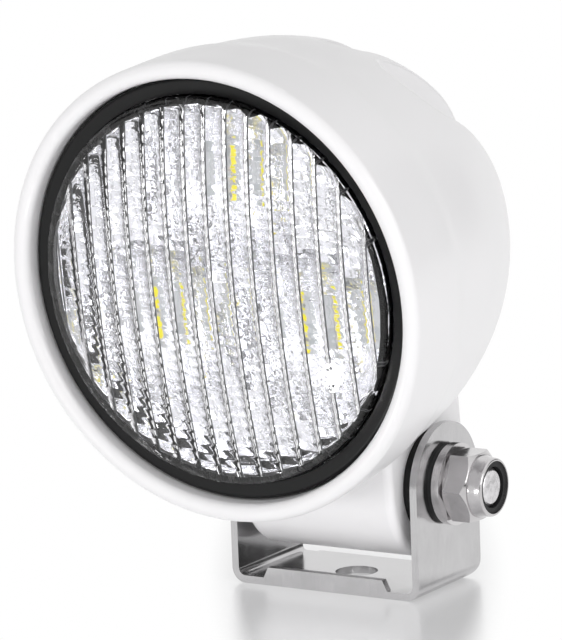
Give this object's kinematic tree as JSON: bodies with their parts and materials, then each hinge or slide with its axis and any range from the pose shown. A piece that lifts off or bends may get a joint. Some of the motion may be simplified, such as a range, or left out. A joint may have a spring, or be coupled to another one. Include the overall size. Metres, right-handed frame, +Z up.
{
  "type": "led floodlight",
  "caption": "Round marine LED floodlight: white domed housing with ribs at the back, clear fluted lens with black rim, and a stainless U bracket with a pivot bolt.",
  "frame": {"origin": "centre of the mounting hole, at the underside of the bracket base", "axes": "-Z out of the mounting hole into the deck, +Z up, the lamp shines towards -Y, +X to the right seen from the front, where the nut is"},
  "size_m": [0.0886, 0.0874, 0.1101],
  "materials": {
    "bracket_steel": "brushed, polished edges",
    "bolt_steel": "bright, turned",
    "washer_steel": "bright, stamped",
    "black_nylon": "matte",
    "friction_rubber": "matte",
    "nut_steel": "bright, slightly worn",
    "insert_nylon": "matte",
    "bush_steel": "turned",
    "white_powder_coat": "fine orange peel, satin",
    "seal_rubber": "matte",
    "clear_lens": "clear, fluted inside",
    "bezel_black": "satin black",
    "reflector_chrome": "vacuum metallised",
    "led_ceramic": "matte white",
    "led_phosphor": "yellow gel",
    "led_board_white": "white solder mask",
    "pad_grey": "matte",
    "spreader_aluminium": "milled",
    "screw_steel": "bright",
    "driver_board_green": "green solder mask",
    "standoff_brass": "turned",
    "coil_ferrite": "matte",
    "capacitor_sleeve": "shrink sleeve",
    "chip_epoxy": "matte",
    "terminal_plastic": "matte",
    "gland_plastic": "fine texture"
  },
  "bodies": {
    "bracket": {"mounting_bracket": "bracket_steel", "pivot_bolt": "bolt_steel", "bolt_washer": "washer_steel", "nut_washer": "washer_steel", "left_isolator": "black_nylon", "right_isolator": "black_nylon", "left_friction_disc": "friction_rubber", "right_friction_disc": "friction_rubber", "lock_nut": "nut_steel", "nut_insert": "insert_nylon"},
    "head": {"pivot_bush": "bush_steel", "housing": "white_powder_coat", "lens_gasket": "seal_rubber", "lens": "clear_lens", "bezel_ring": "bezel_black", "reflector": "reflector_chrome", "led_packages": "led_ceramic", "led_phosphors": "led_phosphor", "led_board": "led_board_white", "thermal_pad": "pad_grey", "heat_spreader": "spreader_aluminium", "board_screws": "screw_steel", "driver_screws": "screw_steel", "driver_board": "driver_board_green", "driver_standoffs": "standoff_brass", "driver_coil": "coil_ferrite", "driver_capacitors": "capacitor_sleeve", "driver_chip": "chip_epoxy", "terminal_block": "terminal_plastic", "gland_washer": "seal_rubber", "gland_body": "gland_plastic", "gland_nut": "gland_plastic", "gland_grommet": "seal_rubber", "vent_plug": "gland_plastic"}
  },
  "joints": [
    {"name": "head_tilt", "type": "hinge", "parent": "bracket", "child": "head", "pos_m": [0, 0, 0.0211], "axis": [1, 0, 0], "range_deg": [-70, 28]}
  ]
}
